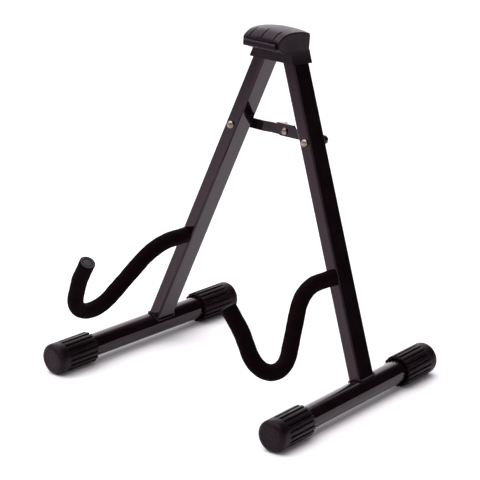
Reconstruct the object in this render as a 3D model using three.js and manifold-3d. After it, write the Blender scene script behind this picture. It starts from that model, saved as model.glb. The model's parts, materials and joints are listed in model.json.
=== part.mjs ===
// Folding A-frame floor stand for a stringed instrument: two rectangular legs hinged in a moulded
// head, a two-link brace behind them, round feet with ribbed caps, and two foam-padded arms.
// Millimetres, +Z up, front toward -Y, standing on z = 0.
import * as THREE from 'three';
import { mergeVertices } from 'three/addons/utils/BufferGeometryUtils.js';
import Module from 'manifold-3d';

const wasm = await Module();
wasm.setup();

const rad = THREE.MathUtils.degToRad;
const spots = (pairs) => pairs.map(([a, b]) => new THREE.Vector2(a, b));

// ---- driving dimensions -------------------------------------------------------------------
const GAP = 0.3;                  // clearance between touching pieces
const ORIGIN_Y = 25.65;           // puts the middle of the outline over the origin
const LEAN = rad(6.8);            // backward lean of the A frame
const SPLAY = rad(21.4);          // each leg from the middle
const LEG_LENGTH = 359.4;         // foot axis to hinge axis
const HINGE_HALF = 15.3;          // half the distance between the hinge axes

const LEG = { width: 15, depth: 25, wall: 1.5, corner: 2.2, foot: 4, above: 10.5 };
const FOOT = { radius: 12.5, wall: 1.6, front: -151, rear: 105.5, sides: 36 };
const WELD = { from: 0.3, width: 1.9, rise: 1.9 };
const CAP = {
  radius: 17, length: 53.7, frontRim: -104.6, rearRim: 59.3, ribs: 18, ribDepth: 1.2,
  smooth: 13, fade: 4, noseRadius: 5.5, bore: 12.8, mouth: 14.3, mouthDepth: 9,
};
const ARM = { rod: 5, rodSides: 12, foam: 8.75, foamSides: 16, bore: 5.45, recess: 2.2, steps: 32 };
const ARM_BENDS = [               // corners of the arm's centre line in its leg's frame
  { forward: 12.5, up: 119.6, inward: 0 },
  { forward: 60.8, up: 116.6, inward: 1.6, radius: 52 },
  { forward: 144.6, up: -8.9, inward: 0.8, radius: 32 },
  { forward: 163.9, up: 88, inward: 1.5, radius: 40 },
  { forward: 169.6, up: 115.4, inward: 7.5 },
];
const PIN = { radius: 3, hole: 3.3, end: 13.5 };
const BRACKET = { inner: 12.8, plate: 0.8, half: 22.6, low: -9, top: 14.2 };
const COVER = { front: -15.9, rear: 15.4, inner: 13.9, half: 24.9, wall: 1.25, low: -12.8, ceiling: 14.6 };
const CROWN = { rise: 2.6, from: 4, full: 16, steps: 8, bevel: 1 };
const CROWN_LINE = [              // rearward and up from the hinge axis
  [-33.8, 12], [-27.5, 16.4], [-21.5, 18.5], [-13, 19.7], [-5, 19.9], [4, 19.4], [14.6, 17.2],
];
const GROOVE = { width: 1.6, depth: 0.8, spacing: 16, rearEnd: -21 };
const BUMPER = { half: 21.6, middle: -35.75, height: 5.1, depth: 4.9, tall: 7.2, corner: 2.1 };
const SCREW = { x: 8, height: 8, shank: 1.7, hole: 2.1, head: 3.6 };
const BOLT = { head: 4.4, dome: 3.3, shank: 2.5, hole: 2.8, end: 21.9 };
const SPACER = { radius: 4.6, from: 12.8, to: 15.5 };
const NUT = { across: 8, flange: 4.7, from: 18.6, to: 21.4 };
const BRACE = {
  below: 97.7, lock: 0.4, half: 5.6, thick: 2.5, layer: 15.8,   // lock: how far past straight
  jogFrom: 21, jogTo: 31, wideFrom: 39.7, past: 11.5, corner: 5,
  tabFrom: 54.5, tabTop: 8, tabThick: 1.5, tabDepth: 8.2,
};
const RIVET = { head: 4.05, dome: 2.9, tail: 4.2, tailHeight: 1.8 };

const FINISHES = {
  enamel: { color: 0x1b1719, roughness: 0.22, metalness: 0 },
  rubber: { color: 0x1d1a1c, roughness: 0.6, metalness: 0 },
  moulding: { color: 0x1c181b, roughness: 0.5, metalness: 0 },
  foam: { color: 0x100c0e, roughness: 0.95, metalness: 0 },
  nickel: { color: 0xb9aa9c, roughness: 0.3, metalness: 1 },
  darkSteel: { color: 0x2b2829, roughness: 0.45, metalness: 0.8 },
};

// ---- shapes -------------------------------------------------------------------------------
const flat = (points) => new THREE.Shape(spots(points));

function roundedRectangle(halfA, halfB, radius) {
  const [a, b] = [halfA - radius, halfB - radius];
  return new THREE.Shape()
    .absarc(a, b, radius, 0, rad(90))
    .absarc(-a, b, radius, rad(90), rad(180))
    .absarc(-a, -b, radius, rad(180), rad(270))
    .absarc(a, -b, radius, rad(270), rad(360))
    .closePath();
}

function withHoles(shape, ...holes) {
  shape.holes.push(...holes);
  return shape;
}

const disc = (radius) => new THREE.Shape().absarc(0, 0, radius, 0, Math.PI * 2);

// outline in x and y, drawn out along z
function column(shape, from, to, curveSegments = 3) {
  const options = { depth: to - from, bevelEnabled: false, curveSegments };
  return new THREE.ExtrudeGeometry(shape, options).translate(0, 0, from);
}

// outline in x and z, given thickness along y
function plate(shape, from, to, curveSegments = 10) {
  return column(shape, 0, to - from, curveSegments).rotateX(Math.PI / 2).translate(0, to, 0);
}

// outline in y and z, given width along x
function section(shape, from, to, curveSegments = 3) {
  return column(shape, from, to, curveSegments).rotateX(Math.PI / 2).rotateZ(Math.PI / 2);
}

// pairs of radius and place along y, turned about y
function turned(pairs, sides = 20) {
  return new THREE.LatheGeometry(spots(pairs), sides);
}

const rod = (radius, from, to, x = 0, z = 0) => (
  turned([[0, from], [radius, from], [radius, to], [0, to]]).translate(x, 0, z)
);

function box(x, y, z) {
  const size = new THREE.BoxGeometry(x[1] - x[0], y[1] - y[0], z[1] - z[0]);
  return size.translate((x[0] + x[1]) / 2, (y[0] + y[1]) / 2, (z[0] + z[1]) / 2);
}

// one shell of shared vertices with its faces pointing out
function closed(geometry) {
  const bare = geometry.clone();
  bare.deleteAttribute('normal');
  bare.deleteAttribute('uv');
  const shell = mergeVertices(bare, 1e-4);
  const [a, b, c] = [new THREE.Vector3(), new THREE.Vector3(), new THREE.Vector3()];
  const place = shell.getAttribute('position');
  const faces = [];
  let volume = 0;
  for (let i = 0; i < shell.index.count; i += 3) {
    const corners = [0, 1, 2].map((k) => shell.index.getX(i + k));
    if (new Set(corners).size === 3) {
      faces.push(...corners);
      [a, b, c].forEach((corner, k) => corner.fromBufferAttribute(place, corners[k]));
      volume += a.dot(b.cross(c));
    }
  }
  shell.setIndex(volume < 0 ? faces.reverse() : faces);
  return shell;
}

// ---- joins and cuts -----------------------------------------------------------------------
function solid(geometry) {
  const shell = closed(geometry);
  return new wasm.Manifold(new wasm.Mesh({
    numProp: 3,
    vertProperties: new Float32Array(shell.getAttribute('position').array),
    triVerts: new Uint32Array(shell.index.array),
  }));
}

function geometryOf(manifold) {
  const mesh = manifold.getMesh();
  const geometry = new THREE.BufferGeometry();
  geometry.setAttribute('position', new THREE.Float32BufferAttribute(mesh.vertProperties, 3));
  geometry.setIndex([...mesh.triVerts]);
  return geometry;
}

const joined = (...pieces) => geometryOf(pieces.map(solid).reduce((all, piece) => all.add(piece)));
const shared = (...pieces) => (
  geometryOf(pieces.map(solid).reduce((all, piece) => all.intersect(piece)))
);
const cut = (base, ...tools) => (
  geometryOf(tools.map(solid).reduce((left, tool) => left.subtract(tool), solid(base)))
);

// ---- the places everything hangs from -----------------------------------------------------
const ACROSS = new THREE.Vector3(1, 0, 0);
const UP = new THREE.Vector3(0, Math.sin(LEAN), Math.cos(LEAN));
const REAR = new THREE.Vector3(0, Math.cos(LEAN), -Math.sin(LEAN));
const FOOT_TILT = Math.atan(Math.tan(LEAN) / Math.cos(SPLAY));   // keeps the feet level
const BRACE_HALF = HINGE_HALF + BRACE.below * Math.sin(SPLAY);
const LINK = Math.hypot(BRACE_HALF, BRACE.lock);                 // leg bolt to centre rivet

const mix = (a, s, b, t) => a.clone().multiplyScalar(s).addScaledVector(b, t);

const root = new THREE.Group();
root.name = 'folding_stand';

function place(x, y, z, origin) {
  const group = new THREE.Group();
  group.applyMatrix4(new THREE.Matrix4().makeBasis(x, y, z).setPosition(origin));
  root.add(group);
  return group;
}

// x across, y rearward, z up the frame's lean, from the middle between the hinge pins
function headPlace() {
  const rise = LEG_LENGTH * Math.cos(SPLAY);
  return place(ACROSS, REAR, UP, new THREE.Vector3(0, ORIGIN_Y, CAP.radius).addScaledVector(UP, rise));
}

// the same, with z up the leg, from the foot's axis; side is -1 for the left and 1 for the right
function legPlace(side) {
  const along = mix(UP, Math.cos(SPLAY), ACROSS, -side * Math.sin(SPLAY));
  const across = mix(ACROSS, Math.cos(SPLAY), UP, side * Math.sin(SPLAY));
  const half = HINGE_HALF + LEG_LENGTH * Math.sin(SPLAY);
  return place(across, REAR, along, new THREE.Vector3(side * half, ORIGIN_Y, CAP.radius));
}

// level, with y rearward along the foot
function footPlace(leg) {
  const [, rear, along] = [0, 1, 2].map((i) => new THREE.Vector3().setFromMatrixColumn(leg.matrix, i));
  const foot = mix(rear, Math.cos(FOOT_TILT), along, Math.sin(FOOT_TILT));
  return place(new THREE.Vector3(foot.y, -foot.x, 0), foot, new THREE.Vector3(0, 0, 1), leg.position);
}

// x along the link, from its leg bolt
function linkPlace(head, side) {
  const dip = Math.atan2(BRACE.lock, BRACE_HALF) * side;
  const origin = new THREE.Vector3(side * BRACE_HALF, 0, -BRACE.below * Math.cos(SPLAY));
  const x = mix(ACROSS, Math.cos(dip), UP, Math.sin(dip));
  const z = mix(UP, Math.cos(dip), ACROSS, -Math.sin(dip));
  return place(x, REAR, z, origin.applyMatrix4(head.matrix));
}

// ---- legs and feet ------------------------------------------------------------------------
function legTube() {
  const { width, depth, wall, corner } = LEG;
  const wallShape = withHoles(
    roundedRectangle(width / 2, depth / 2, corner),
    roundedRectangle(width / 2 - wall, depth / 2 - wall, corner - wall),
  );
  const tube = column(wallShape, LEG.foot, LEG_LENGTH + LEG.above);
  const saddle = rod(FOOT.radius + GAP, -40, 40).rotateX(FOOT_TILT);
  const hinge = rod(PIN.hole, -20, 20, 0, LEG_LENGTH);
  const bolt = rod(BOLT.hole, -20, 20, 0, LEG_LENGTH - BRACE.below);
  return cut(tube, saddle, hinge, bolt);
}

// the bead runs round the leg where it stands on the foot tube
function footWeld() {
  const { from, width, rise } = WELD;
  const [a, b, corner] = [LEG.width / 2 + from, LEG.depth / 2 + from, LEG.corner + from];
  const ring = withHoles(
    roundedRectangle(a + width, b + width, corner + width),
    roundedRectangle(a, b, corner),
  );
  const [inner, outer] = [FOOT.radius + from, FOOT.radius + from + rise];
  const shell = turned([[inner, -30], [outer, -30], [outer, 30], [inner, 30], [inner, -30]], 48);
  return shared(column(ring, 0, 40), shell.rotateX(FOOT_TILT));
}

function footTube() {
  const bore = FOOT.radius - FOOT.wall;
  const { radius, front, rear } = FOOT;
  return turned([[bore, front], [radius, front], [radius, rear], [bore, rear], [bore, front]], FOOT.sides);
}

// each rib has a flat crest, and one of them rests on the floor
function ribShape() {
  const pitch = (Math.PI * 2) / CAP.ribs;
  const crest = CAP.radius / Math.cos(0.27 * pitch);
  const valley = CAP.radius - CAP.ribDepth;
  const points = [];
  for (let i = 0; i < CAP.ribs; i++) {
    for (const [step, radius] of [[-0.27, crest], [0.27, crest], [0.36, valley], [0.64, valley]]) {
      const angle = (i + step) * pitch - Math.PI / 2;
      points.push([radius * Math.cos(angle), radius * Math.sin(angle)]);
    }
  }
  return flat(points);
}

// toward is -1 for the front cap and 1 for the rear one
function footCap(rim, toward) {
  const { radius, length, smooth, fade, noseRadius, bore, mouth, mouthDepth } = CAP;
  const at = (depth) => rim + toward * depth;
  const ribEnd = at(length - smooth);
  const ribbed = plate(ribShape(), Math.min(rim, ribEnd), Math.max(rim, ribEnd));
  const valley = radius - CAP.ribDepth;
  const nose = [0, 30, 60, 90].map((degrees) => [
    radius - noseRadius * (1 - Math.cos(rad(degrees))),
    at(length - noseRadius * (1 - Math.sin(rad(degrees)))),
  ]);
  const shoulder = [[0, at(length - smooth - fade)], [valley - 0.2, at(length - smooth - fade)]];
  const core = turned([...shoulder, [radius, at(length - smooth)], ...nose, [0, at(length)]], FOOT.sides);
  const end = Math.abs((toward < 0 ? FOOT.front : FOOT.rear) - rim) + GAP;
  const hollow = turned([
    [0, at(-1)], [mouth, at(-1)], [mouth, at(mouthDepth)],
    [bore, at(mouthDepth + 2)], [bore, at(end)], [0, at(end)],
  ], FOOT.sides);
  return cut(joined(ribbed, core), hollow);
}

// ---- arms ---------------------------------------------------------------------------------
// the bent centre line, shortened at the leg and at the tip
function armLine(side, fromLeg, fromTip) {
  const corners = ARM_BENDS.map(({ forward, up, inward }) => (
    new THREE.Vector3(-side * inward, -forward, up)
  ));
  const last = corners.length - 1;
  const toward = (a, b, reach) => a.clone().lerp(b, reach / a.distanceTo(b));
  const line = new THREE.CurvePath();
  let from = toward(corners[0], corners[1], fromLeg);
  for (let i = 1; i < last; i++) {
    const [before, corner, after] = [corners[i - 1], corners[i], corners[i + 1]];
    const turn = Math.PI - before.clone().sub(corner).angleTo(after.clone().sub(corner));
    const reach = ARM_BENDS[i].radius * Math.tan(turn / 2);
    const handle = reach - (4 / 3) * Math.tan(turn / 4) * ARM_BENDS[i].radius;
    const [start, end] = [toward(corner, before, reach), toward(corner, after, reach)];
    line.add(new THREE.LineCurve3(from, start));
    line.add(new THREE.CubicBezierCurve3(
      start, toward(corner, before, handle), toward(corner, after, handle), end,
    ));
    from = end;
  }
  line.add(new THREE.LineCurve3(from, toward(corners[last], corners[last - 1], fromTip)));
  return line;
}

function alongArm(shape, line, sides = ARM.rodSides, steps = ARM.steps) {
  return new THREE.ExtrudeGeometry(shape, { steps, extrudePath: line, curveSegments: sides / 2 });
}

const armRod = (side) => alongArm(disc(ARM.rod), armLine(side, 0.7, ARM.recess + GAP));

const armFoam = (side) => (
  alongArm(withHoles(disc(ARM.foam), disc(ARM.bore)), armLine(side, 0.95, 0), ARM.foamSides)
);

function armPlug(side) {
  const line = armLine(side, 0, 0.2).curves.at(-1);
  const start = line.v2.clone().lerp(line.v1, (ARM.recess - 0.2) / line.getLength());
  return alongArm(disc(ARM.rod), new THREE.LineCurve3(start, line.v2), ARM.rodSides, 1);
}

// ---- hinge head ---------------------------------------------------------------------------
// the upper block: a side outline with its top swelling toward the middle
function crownBlock() {
  const outline = new THREE.Shape()
    .moveTo(-24, -1.5)
    .lineTo(-34.4, 3.6)
    .lineTo(-34.8, 9.8)
    .splineThru(spots(CROWN_LINE))
    .lineTo(COVER.rear, 14.6)
    .lineTo(COVER.rear, -1.5)
    .closePath();
  const depth = 2 * (COVER.half - CROWN.bevel);
  const block = new THREE.ExtrudeGeometry(outline, {
    depth, steps: CROWN.steps, curveSegments: 2,
    bevelThickness: CROWN.bevel, bevelSize: CROWN.bevel, bevelOffset: -CROWN.bevel, bevelSegments: 1,
  });
  block.translate(0, 0, -depth / 2).rotateX(Math.PI / 2).rotateZ(Math.PI / 2);
  const spot = block.getAttribute('position');
  for (let i = 0; i < spot.count; i++) {
    const across = spot.getX(i) / COVER.half;
    const share = THREE.MathUtils.smoothstep(spot.getZ(i), CROWN.from, CROWN.full);
    spot.setZ(i, spot.getZ(i) + CROWN.rise * (1 - across ** 2) * share);
  }
  return block;
}

// a slot that keeps its depth over the curved top
function crownGroove(x) {
  const slab = box([x - GROOVE.width / 2, x + GROOVE.width / 2], [-40, GROOVE.rearEnd], [11.5, 30]);
  return cut(slab, crownBlock().translate(0, GROOVE.depth / 2, -GROOVE.depth));
}

// half the skirt's width at a height below the hinge, spreading as the legs do
const skirt = (half, height) => half - Math.min(height, 0) * Math.tan(SPLAY);

function flaredShape(half, top, low) {
  return flat([
    [-half, top], [-half, 0], [-skirt(half, low), low],
    [skirt(half, low), low], [half, 0], [half, top],
  ]);
}

function headCover() {
  const { front, rear, inner, half, wall, low, ceiling } = COVER;
  const outside = plate(flaredShape(half, 1, low), front, rear);
  const cavity = plate(flaredShape(half - wall, ceiling, low - 10), -inner, inner);
  const seat = box([-22.8, 22.8], [-45, -33], [1.2, 9.9]);
  const screws = [-1, 1].map((side) => rod(SCREW.hole, 10, 20, side * SCREW.x, SCREW.height));
  const grooves = [-1, 0, 1].map((step) => crownGroove(step * GROOVE.spacing));
  return cut(joined(crownBlock(), outside), cavity, seat, ...screws, ...grooves);
}

function bumperBar() {
  const { half, depth, tall, corner } = BUMPER;
  const shape = roundedRectangle(depth / 2 - 1, tall / 2 - 1, corner - 1);
  const bar = new THREE.ExtrudeGeometry(shape, {
    depth: 2 * half - 2, curveSegments: 3, bevelThickness: 1, bevelSize: 1, bevelSegments: 2,
  });
  bar.translate(0, 0, 1 - half).rotateX(Math.PI / 2).rotateZ(Math.PI / 2);
  return bar.translate(0, BUMPER.middle, BUMPER.height);
}

function hingeBracket() {
  const { inner, plate: thick, half, low, top } = BRACKET;
  const outer = inner + thick;
  const channel = section(flat([
    [-outer, low], [-inner, low], [-inner, top - thick], [inner, top - thick],
    [inner, low], [outer, low], [outer, top], [-outer, top],
  ]), -half, half);
  const holes = [-1, 1].flatMap((side) => [
    rod(PIN.hole, -20, 20, side * HINGE_HALF, 0),
    rod(SCREW.hole, 10, 20, side * SCREW.x, SCREW.height),
  ]);
  return cut(channel, ...holes);
}

const hingePin = () => rod(PIN.radius, -PIN.end, PIN.end);

function coverScrew() {
  const face = COVER.rear + GAP;
  const { shank, head } = SCREW;
  return turned([
    [0, BRACKET.inner + 0.1], [shank, BRACKET.inner + 0.1], [shank, face],
    [head, face], [head, face + 0.9], [head - 1, face + 1.8], [0, face + 1.8],
  ], 16);
}

// ---- brace --------------------------------------------------------------------------------
// way is the direction along x from the leg bolt to the centre rivet
function boltHoles(way) {
  return [0, way * LINK].map((x) => rod(BOLT.hole, 10, 30, x, 0));
}

// the plain link steps rearward halfway, to pass behind the other one at the centre
function plainLink(way) {
  const { layer, thick, half, jogFrom, jogTo } = BRACE;
  const step = layer + thick + GAP;
  const run = [[-10, layer], [jogFrom, layer], [jogTo, step], [LINK + 10, step]];
  const back = run.map(([x, y]) => [x, y + thick]).reverse();
  const strip = column(flat([...run, ...back].map(([x, y]) => [way * x, y])), -10, 10);
  const [low, high] = [0, way * LINK].sort((a, b) => a - b);
  const outline = new THREE.Shape()
    .absarc(low, 0, half, rad(90), rad(270))
    .absarc(high, 0, half, rad(-90), rad(90))
    .closePath();
  return cut(shared(strip, plate(outline, 10, 30)), ...boltHoles(way));
}

// the other link widens at the centre, where its upper edge bends back over the plain one:
// that tab stops the brace just past straight
function stopLink(way) {
  const { layer, thick, half, wideFrom, past, corner, tabFrom, tabTop, tabThick, tabDepth } = BRACE;
  const end = LINK + past;
  const round = Array.from({ length: 9 }, (_, i) => {
    const angle = rad(90 + i * 22.5);
    return [half * Math.cos(angle), half * Math.sin(angle)];
  });
  const outline = [
    ...round, [end - corner, -half], [end, corner - half],
    [end, tabTop], [wideFrom, tabTop], [wideFrom - 2.5, half - 0.6],
  ];
  const web = plate(flat(outline.map(([x, z]) => [way * x, z])), layer, layer + thick);
  const reach = [way * tabFrom, way * end].sort((a, b) => a - b);
  const tab = box(reach, [layer + 0.5, layer + tabDepth], [tabTop - tabThick, tabTop]);
  return cut(joined(web, tab), ...boltHoles(way));
}

// radius and place of a domed head that ends at face
function dome(radius, height, face) {
  const rings = [15, 40, 65, 90].map((degrees) => [
    radius * Math.sin(rad(degrees)), face - 0.4 - (height - 0.4) * Math.cos(rad(degrees)),
  ]);
  return [[0, face - height], ...rings, [radius, face]];
}

function legBolt() {
  const face = -LEG.depth / 2 - GAP;
  return turned([
    ...dome(BOLT.head, BOLT.dome, face), [BOLT.shank, face], [BOLT.shank, BOLT.end], [0, BOLT.end],
  ]);
}

function spacer() {
  const { radius, from, to } = SPACER;
  return turned([[BOLT.hole, from], [radius, from], [radius, to], [BOLT.hole, to], [BOLT.hole, from]]);
}

function lockNut() {
  const { across, flange, from, to } = NUT;
  const collar = turned([[0, from], [flange, from], [flange, from + 1], [0, from + 1]], 24);
  const corners = [0, 1, 2, 3, 4, 5].map((i) => rad(i * 60));
  const reach = across / 2 / Math.cos(rad(30));
  const hexagon = flat(corners.map((angle) => [reach * Math.cos(angle), reach * Math.sin(angle)]));
  return cut(joined(collar, plate(hexagon, from + 0.5, to)), rod(BOLT.hole, from - 1, to + 1));
}

function centreRivet() {
  const face = BRACE.layer - GAP;
  const back = BRACE.layer + BRACE.thick;
  return turned([...dome(RIVET.head, RIVET.dome, face), [BOLT.shank, face], [BOLT.shank, back], [0, back]]);
}

function centreTail() {
  const front = BRACE.layer + BRACE.thick + GAP;
  const back = front + BRACE.thick + GAP;
  const { tail, tailHeight } = RIVET;
  return turned([
    [0, front], [BOLT.shank, front], [BOLT.shank, back],
    [tail, back], [tail, back + tailHeight / 2], [tail - 1.4, back + tailHeight], [0, back + tailHeight],
  ]);
}

// ---- assembly -----------------------------------------------------------------------------
const paints = Object.fromEntries(Object.entries(FINISHES).map(([name, look]) => (
  [name, new THREE.MeshStandardMaterial({ name, ...look })]
)));

function add(group, name, geometry, finish, [x, y, z] = [0, 0, 0]) {
  const shell = closed(geometry);
  shell.computeVertexNormals();
  const mesh = new THREE.Mesh(shell, paints[finish]);
  mesh.name = name;
  mesh.position.set(x, y, z);
  group.add(mesh);
}

const head = headPlace();
add(head, 'head_cover', headCover(), 'moulding');
add(head, 'bumper_bar', bumperBar(), 'rubber');
add(head, 'hinge_bracket', hingeBracket(), 'darkSteel');

for (const [tag, side] of [['left', -1], ['right', 1]]) {
  add(head, `${tag}_hinge_pin`, hingePin(), 'darkSteel', [side * HINGE_HALF, 0, 0]);
  add(head, `${tag}_cover_screw`, coverScrew(), 'darkSteel', [side * SCREW.x, 0, SCREW.height]);

  const leg = legPlace(side);
  const boltSpot = [0, 0, LEG_LENGTH - BRACE.below];
  add(leg, `${tag}_leg_tube`, legTube(), 'enamel');
  add(leg, `${tag}_foot_weld`, footWeld(), 'enamel');
  add(leg, `${tag}_arm_rod`, armRod(side), 'enamel');
  add(leg, `${tag}_arm_foam`, armFoam(side), 'foam');
  add(leg, `${tag}_arm_plug`, armPlug(side), 'rubber');
  add(leg, `${tag}_leg_bolt`, legBolt(), 'nickel', boltSpot);
  add(leg, `${tag}_spacer`, spacer(), 'nickel', boltSpot);
  add(leg, `${tag}_lock_nut`, lockNut(), 'darkSteel', boltSpot);

  const foot = footPlace(leg);
  add(foot, `${tag}_foot_tube`, footTube(), 'enamel');
  add(foot, `${tag}_front_cap`, footCap(CAP.frontRim, -1), 'rubber');
  add(foot, `${tag}_rear_cap`, footCap(CAP.rearRim, 1), 'rubber');

  const link = linkPlace(head, side);
  const centre = [-side * LINK, 0, 0];
  if (side < 0) {
    add(link, 'left_brace_link', plainLink(-side), 'enamel');
    add(link, 'centre_rivet_tail', centreTail(), 'darkSteel', centre);
  } else {
    add(link, 'right_brace_link', stopLink(-side), 'enamel');
    add(link, 'centre_rivet', centreRivet(), 'nickel', centre);
  }
}

export default root;
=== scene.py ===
"""Looks for a folding A-frame instrument stand: black enamelled tube legs and feet, ribbed
rubber caps, foam-sleeved arms, a moulded head with a bumper, and a riveted two-link brace."""
import json
import math

import bmesh
import bpy
import numpy as np
from mathutils import Matrix, Quaternion, Vector

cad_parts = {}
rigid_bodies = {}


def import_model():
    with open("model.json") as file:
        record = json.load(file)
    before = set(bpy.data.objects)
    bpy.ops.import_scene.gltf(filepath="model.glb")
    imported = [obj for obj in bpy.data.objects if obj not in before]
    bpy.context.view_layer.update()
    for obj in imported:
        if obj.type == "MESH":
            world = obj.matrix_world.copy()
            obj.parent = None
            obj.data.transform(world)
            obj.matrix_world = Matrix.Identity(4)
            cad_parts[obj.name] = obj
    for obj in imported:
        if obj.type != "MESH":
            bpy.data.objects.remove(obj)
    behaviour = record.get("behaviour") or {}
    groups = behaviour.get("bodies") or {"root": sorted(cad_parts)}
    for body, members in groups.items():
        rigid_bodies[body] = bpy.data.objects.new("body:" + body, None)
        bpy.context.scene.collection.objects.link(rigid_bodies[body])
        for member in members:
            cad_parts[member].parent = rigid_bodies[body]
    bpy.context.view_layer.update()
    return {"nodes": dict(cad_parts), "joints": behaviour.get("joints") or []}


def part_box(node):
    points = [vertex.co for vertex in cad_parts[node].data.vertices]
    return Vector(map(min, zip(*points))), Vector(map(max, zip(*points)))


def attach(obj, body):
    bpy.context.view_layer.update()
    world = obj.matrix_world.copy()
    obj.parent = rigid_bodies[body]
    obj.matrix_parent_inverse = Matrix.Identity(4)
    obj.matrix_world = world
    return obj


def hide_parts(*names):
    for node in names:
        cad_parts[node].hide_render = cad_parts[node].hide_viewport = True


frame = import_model()
MM = 0.001

# ---- camera ------------------------------------------------------------------------------
CAMERA_AT = Vector((1.5559, -1.7639, 0.9826))
LOOKS_AT = Vector((-0.02405, 0.02565, 0.14119))
LENS = 178.27
ROLL = math.radians(-0.18)

camera = bpy.data.objects.new("camera", bpy.data.cameras.new("camera"))
bpy.context.scene.collection.objects.link(camera)
camera.location = CAMERA_AT
aim = (LOOKS_AT - CAMERA_AT).to_track_quat("-Z", "Y") @ Quaternion((0, 0, 1), ROLL)
camera.rotation_euler = aim.to_euler()
camera.data.lens = LENS
camera.data.sensor_width = 36
camera.data.clip_end = 60
bpy.context.scene.camera = camera

# ---- sizes, in millimetres ---------------------------------------------------------------
FOOT_RADIUS = 12.5
FOOT_WALL = 1.6
FOOT_ENDS = (-151, 105.5)
CAP = {"radius": 17, "length": 53.7, "front": -104.6, "rear": 59.3, "ribs": 18, "depth": 1.7,
       "smooth": 12.5, "fade": 3, "nose": 5.5, "bore": 12.8, "mouth": 14.4, "mouth_depth": 9}
FOAM_RADIUS = 8.75
FOAM_BORE = 5.45
ARM_BENDS = [                      # forward, up the leg, inward, bend radius
    (12.5, 119.6, 0, 0), (60.8, 116.6, 1.6, 52), (144.6, -8.9, 0.8, 32),
    (163.9, 88, 1.5, 40), (169.6, 115.4, 7.5, 0),
]
LEG_HALF = (7.5, 12.5)
LEG_FRONT = -12.8
LINK_LAYER = 15.8
LINK_THICK = 2.5
SHANK = 2.5
BOLT_HEAD = (4.4, 3.3)             # radius and height
BOLT_END = 21.9
RIVET_HEAD = (4.05, 2.9)
GAP = 0.3                          # clearance between touching pieces
BEAD = 1.05                        # radius of one weld ripple


# ---- places ------------------------------------------------------------------------------
def framed(x, y, z, origin):
    """A matrix from three directions and an origin in metres, for points in millimetres."""
    turn = Matrix((x, y, z)).transposed().to_4x4()
    return Matrix.Translation(origin) @ turn @ Matrix.Scale(MM, 4)


joints = {joint["name"]: joint for joint in frame["joints"]}
REAR = Vector(joints["right_leg_hinge"]["axis"]).normalized()
ACROSS = Vector((1, 0, 0))
UP = ACROSS.cross(REAR)


def pin_spot(joint):
    """Where a joint's axis passes, in metres."""
    return Vector(joints[joint]["pos_m"])


def leg_place(side):
    """x across the leg, y rearward, z up the leg, from the foot's axis."""
    hinge = pin_spot(side + "_leg_hinge")
    along = (hinge - pin_spot(side + "_link_hinge")).normalized()
    reach = (hinge.z - CAP["radius"] * MM) / along.z
    return framed(REAR.cross(along), REAR, along, hinge - along * reach)


def foot_place(side):
    """Level, with y rearward along the foot."""
    leg = leg_place(side)
    along = leg.col[2].to_3d().normalized()
    foot = (REAR * along.z - along * REAR.z).normalized()
    return framed(Vector((foot.y, -foot.x, 0)), foot, Vector((0, 0, 1)), leg.translation)


def bolt_place(side):
    """The leg's directions, at its bolt."""
    leg = leg_place(side)
    leg.translation = pin_spot(side + "_link_hinge")
    return leg


def rivet_place():
    """Where the two links meet in the middle."""
    low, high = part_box("centre_rivet")
    middle = (low + high) / 2
    depth = (middle - pin_spot("right_link_hinge")).dot(REAR)
    return framed(ACROSS, REAR, UP, middle - REAR * depth)


# ---- materials ---------------------------------------------------------------------------
class Shade:
    """A number flowing through a finish, so that its maths reads as Python."""

    def __init__(self, finish, socket):
        self.finish = finish
        self.socket = socket

    def math(self, operation, first, second=None, third=None):
        values = {i: v for i, v in enumerate((first, second, third)) if v is not None}
        node = self.finish.node("ShaderNodeMath", {"operation": operation}, values)
        return Shade(self.finish, node.outputs[0])

    def __add__(self, other):
        return self.math("ADD", self, other)

    def __mul__(self, other):
        return self.math("MULTIPLY", self, other)

    def __sub__(self, other):
        return self.math("SUBTRACT", self, other)

    def __rsub__(self, other):
        return self.math("SUBTRACT", other, self)

    __radd__ = __add__
    __rmul__ = __mul__

    def above(self, start, full):
        """0 below start, 1 above full, smooth between."""
        values = {0: self, 1: start, 2: full, 3: 0.0, 4: 1.0}
        node = self.finish.node("ShaderNodeMapRange", {"interpolation_type": "SMOOTHSTEP"}, values)
        return Shade(self.finish, node.outputs[0])


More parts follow.
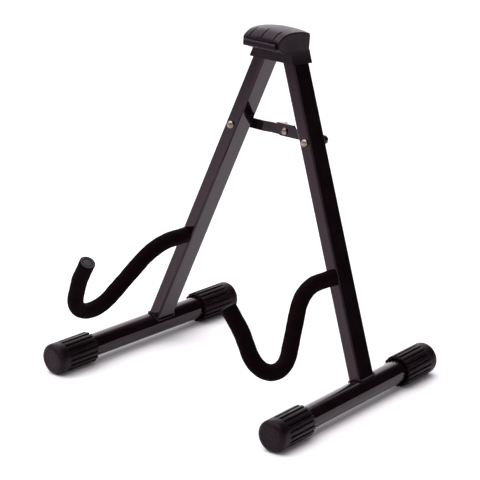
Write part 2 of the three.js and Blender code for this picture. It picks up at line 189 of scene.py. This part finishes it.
class Finish:
    """One procedural material, on Object coordinates in metres."""

    def __init__(self, name, **constants):
        self.material = bpy.data.materials.new(name)
        self.material.use_nodes = True
        self.tree = self.material.node_tree
        self.tree.nodes.clear()
        self.output = self.node("ShaderNodeOutputMaterial")
        self.surface = self.node("ShaderNodeBsdfPrincipled", {}, constants)
        self.tree.links.new(self.surface.outputs[0], self.output.inputs["Surface"])
        self.spot = self.node("ShaderNodeTexCoord").outputs["Object"]

    def node(self, kind, settings=None, values=None):
        made = self.tree.nodes.new(kind)
        for key, setting in (settings or {}).items():
            setattr(made, key, setting)
        for key, value in (values or {}).items():
            self.feed(made.inputs[key], value)
        return made

    def feed(self, socket, value):
        if isinstance(value, Shade):
            value = value.socket
        if isinstance(value, bpy.types.NodeSocket):
            self.tree.links.new(value, socket)
        else:
            socket.default_value = value

    def noise(self, per_metre, detail=2, stretch=(1, 1, 1)):
        """Soft noise with so many blotches a metre."""
        mapped = self.node("ShaderNodeMapping", {}, {"Vector": self.spot, "Scale": stretch})
        values = {"Vector": mapped.outputs[0], "Scale": per_metre, "Detail": detail}
        return Shade(self, self.node("ShaderNodeTexNoise", {}, values).outputs[0])

    def cells(self, per_metre):
        values = {"Vector": self.spot, "Scale": per_metre}
        return Shade(self, self.node("ShaderNodeTexVoronoi", {}, values).outputs[0])

    def blend(self, share, first, second):
        values = {0: share, 6: (*first, 1) if isinstance(first, tuple) else first,
                  7: (*second, 1) if isinstance(second, tuple) else second}
        node = self.node("ShaderNodeMix", {"data_type": "RGBA"}, values)
        return node.outputs[2]

    def facing_up(self):
        """0 on the sides and below, 1 on top."""
        normal = self.node("ShaderNodeNewGeometry").outputs["Normal"]
        parts = self.node("ShaderNodeSeparateXYZ", {}, {0: normal})
        return Shade(self, parts.outputs[2]).above(0.2, 0.95)

    def rough(self, value):
        self.feed(self.surface.inputs["Roughness"], value)

    def colour(self, value):
        self.feed(self.surface.inputs["Base Color"], value)

    def bump(self, height, depth_mm, strength=1.0):
        values = {"Height": height, "Distance": depth_mm * MM, "Strength": strength}
        bumped = self.node("ShaderNodeBump", {}, values)
        self.feed(self.surface.inputs["Normal"], bumped.outputs[0])


def enamel_finish():
    """Gloss black stove enamel: faint orange peel, hazier patches and settled dust on top."""
    made = Finish("black enamel", **{"IOR": 1.4, "Specular Tint": (1, 0.74, 0.89, 1)})
    peel = made.noise(520, 1)
    haze = made.noise(38, 3)
    specks = made.cells(900)
    dust = (1 - specks.above(0.10, 0.16)) * made.facing_up() * 0.3
    warm = made.blend(haze.above(0.3, 0.7), (0.0030, 0.0013, 0.0018), (0.0052, 0.0028, 0.0036))
    made.colour(made.blend(dust, warm, (0.05, 0.044, 0.048)))
    made.rough(haze * 0.09 + 0.05 + dust * 0.25)
    made.bump(peel, 0.02, 0.45)
    return made.material


def rubber_finish():
    """Moulded rubber: fine grain, dusty scuffs and a slow change of shine."""
    made = Finish("cap rubber", **{"IOR": 1.25, "Specular Tint": (1, 0.62, 0.8, 1)})
    grain = made.noise(3200, 3)
    patches = made.noise(60, 4)
    scuffs = made.noise(240, 5, (1, 0.25, 1)).above(0.56, 0.72)
    base = made.blend(patches.above(0.3, 0.7), (0.0024, 0.0012, 0.0016), (0.0046, 0.0026, 0.0034))
    made.colour(made.blend(scuffs * 0.22, base, (0.03, 0.025, 0.028)))
    made.rough(patches * 0.16 + 0.36 + scuffs * 0.12)
    made.bump(grain, 0.05, 0.5)
    return made.material


def moulding_finish(name, base_dark, base_light, shine):
    """Satin injection-moulded plastic with an etched grain."""
    made = Finish(name, **{"IOR": 1.26, "Specular Tint": (1, 0.7, 0.92, 1)})
    grain = made.cells(1900)
    fine = made.noise(4200, 2)
    patches = made.noise(45, 3)
    rubbed = made.noise(160, 5, (1, 1, 0.35)).above(0.58, 0.75)
    base = made.blend(patches.above(0.3, 0.7), base_dark, base_light)
    made.colour(made.blend(rubbed * 0.25, base, (0.045, 0.04, 0.043)))
    made.rough(patches * 0.12 + shine - rubbed * 0.08)
    made.bump(grain * 0.6 + fine * 0.4, 0.06, 0.45)
    return made.material


def foam_finish(name, dark, light):
    """Closed-cell foam: matte, pitted with tiny cells, with painted shade darkening the centre of each pit,
    and with slightly rubbed patches.
    """
    made = Finish(name, **{"Specular IOR Level": 0.05, "Specular Tint": (1, 0.5, 0.6, 1)})
    pit_depth_and_shade = made.cells(1300)
    crumbs = made.noise(2600, 4)
    patches = made.noise(70, 4)
    base = made.blend(patches.above(0.35, 0.7), dark, light)
    # painted shade: the centre of each pit is darkened towards half the dark tone, as shade falling in the
    # recess
    made.colour(made.blend(pit_depth_and_shade.above(0.0, 0.35) * 0.6 + 0.4, tuple(c * 0.5 for c in dark), base))
    made.rough(crumbs * 0.12 + 0.82)
    made.bump(pit_depth_and_shade * 0.7 + crumbs * 0.5, 0.16, 0.6)
    return made.material


def metal_finish(name, dark, light, shine, metallic):
    """Plated or blackened steel with handling marks."""
    made = Finish(name, **{"Metallic": metallic})
    patches = made.noise(420, 4)
    lines = made.noise(900, 2, (1, 0.1, 1))
    made.colour(made.blend(patches.above(0.3, 0.7), dark, light))
    made.rough(patches * 0.12 + lines * 0.08 + shine)
    made.bump(lines, 0.015, 0.4)
    return made.material


FINISHES = {
    "enamel": enamel_finish(),
    "rubber": rubber_finish(),
    "moulding": moulding_finish("head moulding", (0.0032, 0.0017, 0.0026), (0.0062, 0.0036, 0.0052), 0.34),
    "bumper": moulding_finish("bumper rubber", (0.0026, 0.0013, 0.0018), (0.0050, 0.0030, 0.0038), 0.3),
    "foam": foam_finish("sleeve foam", (0.0014, 0.0004, 0.0006), (0.0028, 0.0009, 0.0013)),
    "cut_foam": foam_finish("cut foam", (0.040, 0.036, 0.040), (0.060, 0.055, 0.061)),
    "nickel": metal_finish("nickel plate", (0.19, 0.14, 0.125), (0.32, 0.245, 0.22), 0.15, 1.0),
    "dark_steel": metal_finish("dark steel", (0.010, 0.008, 0.009), (0.026, 0.021, 0.023), 0.34, 0.9),
}


# ---- mesh helpers ------------------------------------------------------------------------
def finished(name, mesh, body, finish, nodes, angle=35):
    """Puts a mesh into the scene as a piece that stands for CAD nodes. Without an angle, its
    own normals stay."""
    mesh.name = name
    mesh.materials.clear()
    for each in [finish] if isinstance(finish, str) else finish:
        mesh.materials.append(FINISHES[each])
    if angle:
        mesh.shade_smooth()
        mesh.set_sharp_from_angle(angle=math.radians(angle))
    made = bpy.data.objects.new(name, mesh)
    bpy.context.scene.collection.objects.link(made)
    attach(made, body)
    if nodes:
        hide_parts(*nodes)
    return made


def skinned(rings, place, looped=False):
    """A closed mesh through rings of points; a ring of one point closes an end."""
    made = bmesh.new()
    rows = [[made.verts.new(place @ Vector(p)) for p in ring] for ring in rings]
    pairs = list(zip(rows, rows[1:])) + ([(rows[-1], rows[0])] if looped else [])
    for a, b in pairs:
        count = max(len(a), len(b))
        for i in range(count):
            j = (i + 1) % count
            corners = [a[i % len(a)], a[j % len(a)], b[j % len(b)], b[i % len(b)]]
            made.faces.new(list(dict.fromkeys(corners)))
    bmesh.ops.recalc_face_normals(made, faces=made.faces)
    mesh = bpy.data.meshes.new("skin")
    made.to_mesh(mesh)
    made.free()
    return mesh


def lathe(profile, place, sides=96, looped=False):
    """Turns (radius, place along y) pairs about y. A zero radius is one point."""
    rings = []
    for radius, y in profile:
        if radius < 1e-6:
            rings.append([(0, y, 0)])
        else:
            turns = [2 * math.pi * i / sides for i in range(sides)]
            rings.append([(radius * math.cos(t), y, radius * math.sin(t)) for t in turns])
    return skinned(rings, place, looped)


def merged(node):
    """A copy of a CAD node's mesh with shared corners and no needless edges."""
    made = bmesh.new()
    made.from_mesh(frame["nodes"][node].data)
    bmesh.ops.remove_doubles(made, verts=made.verts, dist=2e-6)
    bmesh.ops.dissolve_limit(made, angle_limit=math.radians(1.0), verts=made.verts, edges=made.edges)
    mesh = bpy.data.meshes.new(node)
    made.to_mesh(mesh)
    made.free()
    return mesh


def evaluated(mesh, *modifiers):
    """The mesh after these modifiers, as a plain mesh."""
    holder = bpy.data.objects.new("blank", mesh)
    bpy.context.scene.collection.objects.link(holder)
    for kind, settings in modifiers:
        modifier = holder.modifiers.new(kind, kind)
        for key, value in settings.items():
            setattr(modifier, key, value)
    graph = bpy.context.evaluated_depsgraph_get()
    result = bpy.data.meshes.new_from_object(holder.evaluated_get(graph))
    bpy.data.objects.remove(holder)
    return result


def rounded(node, width, segments=3, angle=32):
    """A CAD node's shape with its sharp edges rounded and its flats kept flat in the light."""
    bevel = {"width": width * MM, "segments": segments, "limit_method": "ANGLE",
             "angle_limit": math.radians(angle), "use_clamp_overlap": True}
    mesh = evaluated(merged(node), ("BEVEL", bevel))
    mesh.shade_smooth()
    return evaluated(mesh, ("WEIGHTED_NORMAL", {"weight": 100, "keep_sharp": False}))


def joined(*meshes):
    """Several meshes as one."""
    made = bmesh.new()
    for mesh in meshes:
        made.from_mesh(mesh)
    whole = bpy.data.meshes.new("joined")
    made.to_mesh(whole)
    made.free()
    return whole


# ---- Geometry Nodes ----------------------------------------------------------------------
class Growth:
    """A Geometry Nodes tree with named inputs."""

    def __init__(self, name, **inputs):
        self.tree = bpy.data.node_groups.new(name, "GeometryNodeTree")
        face = self.tree.interface
        face.new_socket("Geometry", in_out="INPUT", socket_type="NodeSocketGeometry")
        self.ids = {}
        for key, kind in inputs.items():
            label = key.replace("_", " ").capitalize()
            socket = face.new_socket(label, in_out="INPUT", socket_type="NodeSocket" + kind)
            self.ids[key] = socket.identifier
        face.new_socket("Geometry", in_out="OUTPUT", socket_type="NodeSocketGeometry")
        self.given = self.tree.nodes.new("NodeGroupInput").outputs
        self.named = {key: self.given[i + 1] for i, key in enumerate(inputs)}

    def node(self, kind, settings=None, values=None):
        made = self.tree.nodes.new(kind)
        for key, setting in (settings or {}).items():
            setattr(made, key, setting)
        for key, value in (values or {}).items():
            if isinstance(value, bpy.types.NodeSocket):
                self.tree.links.new(value, made.inputs[key])
            else:
                made.inputs[key].default_value = value
        return made

    def math(self, operation, first, second):
        return self.node("ShaderNodeMath", {"operation": operation}, {0: first, 1: second}).outputs[0]

    def end(self, geometry):
        whole = self.node("GeometryNodeRealizeInstances", {}, {0: geometry}).outputs[0]
        coated = self.node("GeometryNodeSetMaterial", {},
                           {"Geometry": whole, "Material": self.named["finish"]}).outputs[0]
        out = self.tree.nodes.new("NodeGroupOutput")
        self.tree.links.new(coated, out.inputs[0])

    def grow(self, mesh, **values):
        """The plain mesh that the tree makes from a mesh and its inputs."""
        holder = bpy.data.objects.new("seed", mesh)
        bpy.context.scene.collection.objects.link(holder)
        modifier = holder.modifiers.new("growth", "NODES")
        modifier.node_group = self.tree
        for key, value in values.items():
            modifier[self.ids[key]] = value
        holder.update_tag()
        graph = bpy.context.evaluated_depsgraph_get()
        result = bpy.data.meshes.new_from_object(holder.evaluated_get(graph))
        bpy.data.objects.remove(holder)
        return result


def ring_of_ribs():
    """Copies one rib blank evenly about the y axis."""
    tree = Growth("ring of ribs", ribs="Int", start="Float", finish="Material")
    spots = tree.node("GeometryNodeMeshLine", {}, {"Count": tree.named["ribs"], "Offset": (0, 0, 0)})
    index = tree.node("GeometryNodeInputIndex").outputs[0]
    share = tree.math("DIVIDE", index, tree.named["ribs"])
    turn = tree.math("ADD", tree.math("MULTIPLY", share, 2 * math.pi), tree.named["start"])
    spin = tree.node("ShaderNodeCombineXYZ", {}, {"Y": turn}).outputs[0]
    copies = tree.node("GeometryNodeInstanceOnPoints", {},
                       {"Points": spots.outputs[0], "Instance": tree.given[0], "Rotation": spin})
    tree.end(copies.outputs[0])
    return tree


def row_of_ripples():
    """Lays overlapping flattened beads along a closed seam, as a weld's ripples."""
    tree = Growth("row of ripples", ripples="Int", size="Float", finish="Material")
    seam = tree.node("GeometryNodeMeshToCurve", {}, {0: tree.given[0]}).outputs[0]
    even = tree.node("GeometryNodeResampleCurve", {}, {"Curve": seam, "Count": tree.named["ripples"]})
    drop = tree.node("GeometryNodeMeshUVSphere", {},
                     {"Segments": 14, "Rings": 9, "Radius": tree.named["size"]}).outputs[0]
    along = tree.node("GeometryNodeInputTangent").outputs[0]
    lie = tree.node("FunctionNodeAlignRotationToVector", {"axis": "X"}, {"Vector": along}).outputs[0]
    copies = tree.node("GeometryNodeInstanceOnPoints", {},
                       {"Points": even.outputs[0], "Instance": drop, "Rotation": lie,
                        "Scale": (0.8, 1, 1)})
    tree.end(copies.outputs[0])
    return tree


# ---- feet --------------------------------------------------------------------------------
def rib_blank(length):
    """One rib along y, its crest at the cap's radius and its edges rounded."""
    pitch = 2 * math.pi / CAP["ribs"]
    crest = CAP["radius"]
    floor = crest - CAP["depth"] - 0.3
    edge = 0.33
    across = []
    for share, drop in [(-0.33, crest - floor), (-0.31, CAP["depth"] * 0.6), (-0.29, edge * 0.75),
                        (-0.265, edge * 0.2), (-0.235, 0.02), (-0.12, 0), (0, 0), (0.12, 0),
                        (0.235, 0.02), (0.265, edge * 0.2), (0.29, edge * 0.75),
                        (0.31, CAP["depth"] * 0.6), (0.33, crest - floor)]:
        across.append((share * pitch, crest - drop))
    stations = [(0, -0.32), (0.1, -0.12), (0.32, 0), (length - 3, 0), (length - 1, -0.04),
                (length, -0.12)]
    rings = []
    for y, shrink in stations:
        top = [(max(r + shrink, floor - 0.1) * math.sin(t), y, max(r + shrink, floor - 0.1) * math.cos(t))
               for t, r in across]
        rings.append(top)
    first = [tuple(np.mean(rings[0], axis=0))]
    last = [tuple(np.mean(rings[-1], axis=0))]
    return skinned([first, *rings, last], Matrix.Identity(4))


def cap_core(length):
    """The cap without its ribs: rim, recessed mouth, valley wall, rounded nose, ringed end."""
    radius, nose = CAP["radius"], CAP["nose"]
    valley = radius - CAP["depth"]
    fade_at = length - CAP["smooth"] - CAP["fade"]
    wall = [(valley - 0.35, 0.0), (valley, 0.35), (valley, fade_at)]
    for i in range(1, 9):
        share = i / 8
        wall.append((valley + CAP["depth"] * (3 * share**2 - 2 * share**3), fade_at + CAP["fade"] * share))
    for i in range(17):
        turn = math.radians(90 * i / 16)
        wall.append((radius - nose * (1 - math.cos(turn)), length - nose * (1 - math.sin(turn))))
    ring = [(10.4, length), (10.1, length - 0.28), (9.7, length - 0.36), (9.3, length - 0.28),
            (9.0, length), (5.6, length), (5.4, length), (5.1, length - 0.22), (4.7, length - 0.22),
            (4.4, length), (0, length)]
    mouth = [(CAP["bore"], CAP["mouth_depth"] + 2), (CAP["mouth"], CAP["mouth_depth"]),
             (CAP["mouth"], 0.4), (CAP["mouth"] + 0.35, 0.0)]
    deep = [(0, 46.5), (CAP["bore"] - 0.5, 46.5), (CAP["bore"], 46)]
    return [*deep, *mouth, *wall, *ring]


def foot_caps(side, ribs):
    """The two caps on one foot tube."""
    for end, toward in (("front", -1), ("rear", 1)):
        place = foot_place(side) @ Matrix.Translation((0, CAP[end], 0))
        if toward < 0:
            place = place @ Matrix.Rotation(math.pi, 4, "Z")
        core = lathe(cap_core(CAP["length"]), place, 108)
        blank = rib_blank(CAP["length"] - CAP["smooth"] + 2.5)
        ring = ribs.grow(blank, ribs=CAP["ribs"], start=math.pi, finish=FINISHES["rubber"])
        ring.transform(place)
        node = f"{side}_{end}_cap"
        finished(f"ribbed_{node}", joined(core, ring), side + "_leg", "rubber", [node], 30)


def foot_tube(side):
    front, rear = FOOT_ENDS
    inside = FOOT_RADIUS - FOOT_WALL
    profile = [(inside, front), (FOOT_RADIUS - 0.3, front), (FOOT_RADIUS, front + 0.3),
               (FOOT_RADIUS, rear - 0.3), (FOOT_RADIUS - 0.3, rear), (inside, rear)]
    node = side + "_foot_tube"
    finished("round_" + node, lathe(profile, foot_place(side), 128, True), side + "_leg",
             "enamel", [node])


def weld_seam(side):
    """The closed line where the leg meets the foot tube, as a chain of edges."""
    tilt = math.acos(foot_place(side).col[1].to_3d().normalized().dot(REAR))
    reach, corner = FOOT_RADIUS + 1.0, 3.1
    half = [LEG_HALF[0] + 1.0, LEG_HALF[1] + 1.0]
    made = bmesh.new()
    corners = [(half[0] - corner, half[1] - corner, 0), (corner - half[0], half[1] - corner, 90),
               (corner - half[0], corner - half[1], 180), (half[0] - corner, corner - half[1], 270)]
    spots = []
    for x, y, first in corners:
        for i in range(7):
            turn = math.radians(first + 15 * i)
            spots.append((x + corner * math.cos(turn), y + corner * math.sin(turn)))
    filled = []
    for (ax, ay), (bx, by) in zip(spots, spots[1:] + spots[:1]):
        steps = max(1, round(math.hypot(bx - ax, by - ay) / 1.2))
        filled += [(ax + (bx - ax) * i / steps, ay + (by - ay) * i / steps) for i in range(steps)]
    place = leg_place(side)
    verts = []
    for x, y in filled:
        z = math.sqrt(reach**2 - x**2) / math.cos(tilt) + y * math.tan(tilt)
        verts.append(made.verts.new(place @ Vector((x, y, z))))
    for a, b in zip(verts, verts[1:] + verts[:1]):
        made.edges.new((a, b))
    mesh = bpy.data.meshes.new("seam")
    made.to_mesh(mesh)
    made.free()
    return mesh


def foot_weld(side, ripples):
    bead = ripples.grow(weld_seam(side), ripples=58, size=BEAD * MM, finish=FINISHES["enamel"])
    node = side + "_foot_weld"
    finished("rippled_" + node, bead, side + "_leg", "enamel", [node], 60)


# ---- arms --------------------------------------------------------------------------------
def arm_line(side):
    """Points about 1.5 mm apart along the bent arm, in its leg's place."""
    hand = -1 if side == "left" else 1
    corners = [Vector((-hand * inward, -forward, up)) for forward, up, inward, _ in ARM_BENDS]
    points = [corners[0]]
    for i in range(1, len(corners) - 1):
        back = (corners[i - 1] - corners[i]).normalized()
        ahead = (corners[i + 1] - corners[i]).normalized()
        turn = math.pi - back.angle(ahead)
        radius = ARM_BENDS[i][3]
        reach = radius * math.tan(turn / 2)
        centre = corners[i] + (back + ahead).normalized() * (radius / math.cos(turn / 2))
        start = corners[i] + back * reach - centre
        pivot = start.cross(corners[i] + ahead * reach - centre).normalized()
        steps = max(4, math.ceil(radius * turn / 1.5))
        points += [centre + Matrix.Rotation(turn * k / steps, 3, pivot) @ start for k in range(steps + 1)]
    points.append(corners[-1])
    dense = []
    for a, b in zip(points, points[1:]):
        steps = max(1, round((b - a).length / 1.5))
        dense += [a.lerp(b, k / steps) for k in range(steps)]
    return [*dense, points[-1]]


def travelled(points):
    """How far along the line each point lies."""
    gone = [0.0]
    for a, b in zip(points, points[1:]):
        gone.append(gone[-1] + (b - a).length)
    return gone


def foam_sleeve(side):
    """A foam tube along the arm, with soft unevenness and rounded, cut ends."""
    line = arm_line(side)
    gone = travelled(line)
    total = gone[-1]
    sides = 56
    last = len(line) - 1
    tangents = [(line[min(i + 1, last)] - line[max(i - 1, 0)]).normalized() for i in range(last + 1)]
    across = tangents[0].orthogonal().normalized()
    frames = []
    for tangent in tangents:
        across = (across - tangent * across.dot(tangent)).normalized()
        frames.append((across, tangent.cross(across)))

    def ring(distance, radius, uneven=0.0):
        at = max(0, min(len(gone) - 2, int(np.searchsorted(gone, distance)) - 1))
        share = (distance - gone[at]) / (gone[at + 1] - gone[at])
        centre = line[at].lerp(line[at + 1], share)
        a, b = frames[at]
        spots = []
        for k in range(sides):
            t = 2 * math.pi * k / sides
            swell = uneven * (0.09 * math.sin(distance * 0.21 + 2 * t) + 0.06 * math.sin(distance * 0.53 + t))
            r = radius - uneven * 0.15 + swell
            spots.append(tuple(centre + a * (r * math.cos(t)) + b * (r * math.sin(t))))
        return spots

    root, tip, ease = 0.95, total, 1.1
    rings = [ring(root + 0.3, FOAM_BORE + 0.3), ring(root, FOAM_BORE + 0.8), ring(root, FOAM_RADIUS - ease)]
    for i in range(1, 6):
        turn = math.radians(18 * i)
        rings.append(ring(root + ease * (1 - math.cos(turn)), FOAM_RADIUS - ease * (1 - math.sin(turn))))
    count = int((total - 6) / 1.6)
    for i in range(count):
        rings.append(ring(root + 1.6 + (total - root - 3.2) * i / (count - 1), FOAM_RADIUS, 1.0))
    for i in range(1, 6):
        turn = math.radians(18 * i)
        rings.append(ring(tip - ease * (1 - math.sin(turn)), FOAM_RADIUS - ease * (1 - math.cos(turn))))
    cut_from = len(rings) - 1
    rings += [ring(tip, FOAM_BORE + 0.6), ring(tip - 0.35, FOAM_BORE + 0.15)]
    for i in range(count):
        rings.append(ring(tip - 2 - (total - root - 3) * i / (count - 1), FOAM_BORE))
    mesh = skinned(rings, leg_place(side), True)
    node = side + "_arm_foam"
    sleeve = finished("sleeve_" + node, mesh, side + "_leg", ["foam", "cut_foam"], [node], 50)
    for face in sleeve.data.polygons:
        if cut_from * sides <= face.index < (cut_from + 2) * sides:
            face.material_index = 1


def tip_plug(side):
    """A shallow domed disc that closes the sleeve's bore."""
    line = arm_line(side)
    along = (line[-1] - line[-2]).normalized()
    across = along.orthogonal().normalized()
    turn = Matrix((across, along, across.cross(along))).transposed().to_4x4()
    place = leg_place(side) @ Matrix.Translation(line[-1] - along * 2.0) @ turn
    profile = [(0, 0), (4.7, 0), (5.0, 0.3), (5.0, 1.3), (4.7, 1.62), (3.6, 1.72), (0, 1.8)]
    node = side + "_arm_plug"
    finished("domed_" + node, lathe(profile, place, 64), side + "_leg", "cut_foam", [node])


# ---- brace -------------------------------------------------------------------------------
def dome_profile(radius, height, face, end):
    """A domed head that ends at face, and its plain shank."""
    profile = [(0, face - height)]
    for i in range(1, 13):
        turn = math.radians(90 * i / 12)
        profile.append((radius * math.sin(turn), face - 0.45 - (height - 0.45) * math.cos(turn)))
    return [*profile, (radius, face - 0.12), (radius - 0.15, face), (SHANK, face), (SHANK, end), (0, end)]


def leg_bolt(side):
    node = side + "_leg_bolt"
    mesh = lathe(dome_profile(*BOLT_HEAD, LEG_FRONT, BOLT_END), bolt_place(side), 64)
    finished("domed_" + node, mesh, side + "_leg", "nickel", [node])


def centre_rivet():
    face = LINK_LAYER - GAP
    mesh = lathe(dome_profile(*RIVET_HEAD, face, LINK_LAYER + LINK_THICK), rivet_place(), 64)
    finished("domed_centre_rivet", mesh, "right_link", "nickel", ["centre_rivet"])


# ---- the whole stand ---------------------------------------------------------------------
ribs = ring_of_ribs()
ripples = row_of_ripples()
for side in ("left", "right"):
    foot_tube(side)
    foot_caps(side, ribs)
    foot_weld(side, ripples)
    foam_sleeve(side)
    tip_plug(side)
    leg_bolt(side)
centre_rivet()

EDGES = {                          # CAD node: body, slot, finish, edge radius in mm
    "head_cover": ("head", "moulding", "moulding", 0.45),
    "bumper_bar": ("head", "rubber", "bumper", 0.2),
    "left_leg_tube": ("left_leg", "enamel", "enamel", 0.15),
    "right_leg_tube": ("right_leg", "enamel", "enamel", 0.15),
    "left_brace_link": ("left_link", "enamel", "enamel", 0.35),
    "right_brace_link": ("right_link", "enamel", "enamel", 0.35),
    "left_lock_nut": ("left_leg", "dark_steel", "dark_steel", 0.25),
    "right_lock_nut": ("right_leg", "dark_steel", "dark_steel", 0.25),
    "centre_rivet_tail": ("left_link", "dark_steel", "dark_steel", 0.25),
    "left_cover_screw": ("head", "dark_steel", "dark_steel", 0.2),
    "right_cover_screw": ("head", "dark_steel", "dark_steel", 0.2),
}
for node, (body, slot, finish, width) in EDGES.items():
    finished("rounded_" + node, rounded(node, width), body, finish, [node], None)

KEPT = {
    "hinge_bracket": "dark_steel",
    "left_hinge_pin": "dark_steel", "right_hinge_pin": "dark_steel",
    "left_spacer": "nickel", "right_spacer": "nickel",
    "left_arm_rod": "enamel", "right_arm_rod": "enamel",
}
for node, finish in KEPT.items():
    for slot in frame["nodes"][node].material_slots:
        slot.material = FINISHES[finish]

# ---- studio ------------------------------------------------------------------------------
AIR = 0.68                         # strength of the light all round
BANK = 1.75                        # strength of the bright bank


def white_floor():
    made = bmesh.new()
    bmesh.ops.create_grid(made, x_segments=2, y_segments=2, size=9.0)
    mesh = bpy.data.meshes.new("floor")
    made.to_mesh(mesh)
    made.free()
    floor = bpy.data.objects.new("floor", mesh)
    bpy.context.scene.collection.objects.link(floor)
    paper = Finish("paper", **{"Roughness": 0.9, "Specular IOR Level": 0.1})
    paper.colour(paper.blend(paper.noise(3, 2), (0.93, 0.915, 0.935), (0.95, 0.935, 0.955)))
    mesh.materials.append(paper.material)


def softbox(name, spot, target, size, watts):
    lamp = bpy.data.objects.new(name, bpy.data.lights.new(name, "AREA"))
    lamp.data.shape = "RECTANGLE"
    lamp.data.size, lamp.data.size_y = size
    lamp.data.energy = watts
    lamp.location = spot
    lamp.rotation_euler = (Vector(target) - Vector(spot)).to_track_quat("-Z", "Y").to_euler()
    bpy.context.scene.collection.objects.link(lamp)


def studio_air():
    """Soft light all round: a bright bank low behind on the left, a dark corner on the right."""
    world = bpy.data.worlds.new("studio")
    bpy.context.scene.world = world
    world.use_nodes = True
    tree = world.node_tree
    tree.nodes.clear()
    way = tree.nodes.new("ShaderNodeTexCoord").outputs["Generated"]

    def lobe(direction, start, full, low, high):
        dot = tree.nodes.new("ShaderNodeVectorMath")
        dot.operation = "DOT_PRODUCT"
        tree.links.new(way, dot.inputs[0])
        dot.inputs[1].default_value = Vector(direction).normalized()
        ramp = tree.nodes.new("ShaderNodeMapRange")
        ramp.interpolation_type = "SMOOTHSTEP"
        for i, value in enumerate((start, full, low, high)):
            ramp.inputs[i + 1].default_value = value
        tree.links.new(dot.outputs["Value"], ramp.inputs[0])
        return ramp.outputs[0]

    total = tree.nodes.new("ShaderNodeMath")
    total.operation = "ADD"
    tree.links.new(lobe((0.60, 0.70, 0.38), 0.50, 0.88, AIR, AIR * 0.03), total.inputs[0])
    tree.links.new(lobe((-0.60, 0.68, 0.42), 0.86, 0.94, 0.0, BANK), total.inputs[1])
    sky = tree.nodes.new("ShaderNodeBackground")
    sky.inputs["Color"].default_value = (1.0, 0.955, 1.0, 1)
    tree.links.new(total.outputs[0], sky.inputs["Strength"])
    out = tree.nodes.new("ShaderNodeOutputWorld")
    tree.links.new(sky.outputs[0], out.inputs[0])


white_floor()
studio_air()
softbox("overhead", (-0.3, -0.2, 2.6), (0, 0, 0.1), (3.0, 3.0), 84)
softbox("front_left", (-2.0, -1.5, 2.0), (0, 0, 0.15), (1.8, 1.8), 22)
bpy.context.scene.view_settings.view_transform = "Standard"
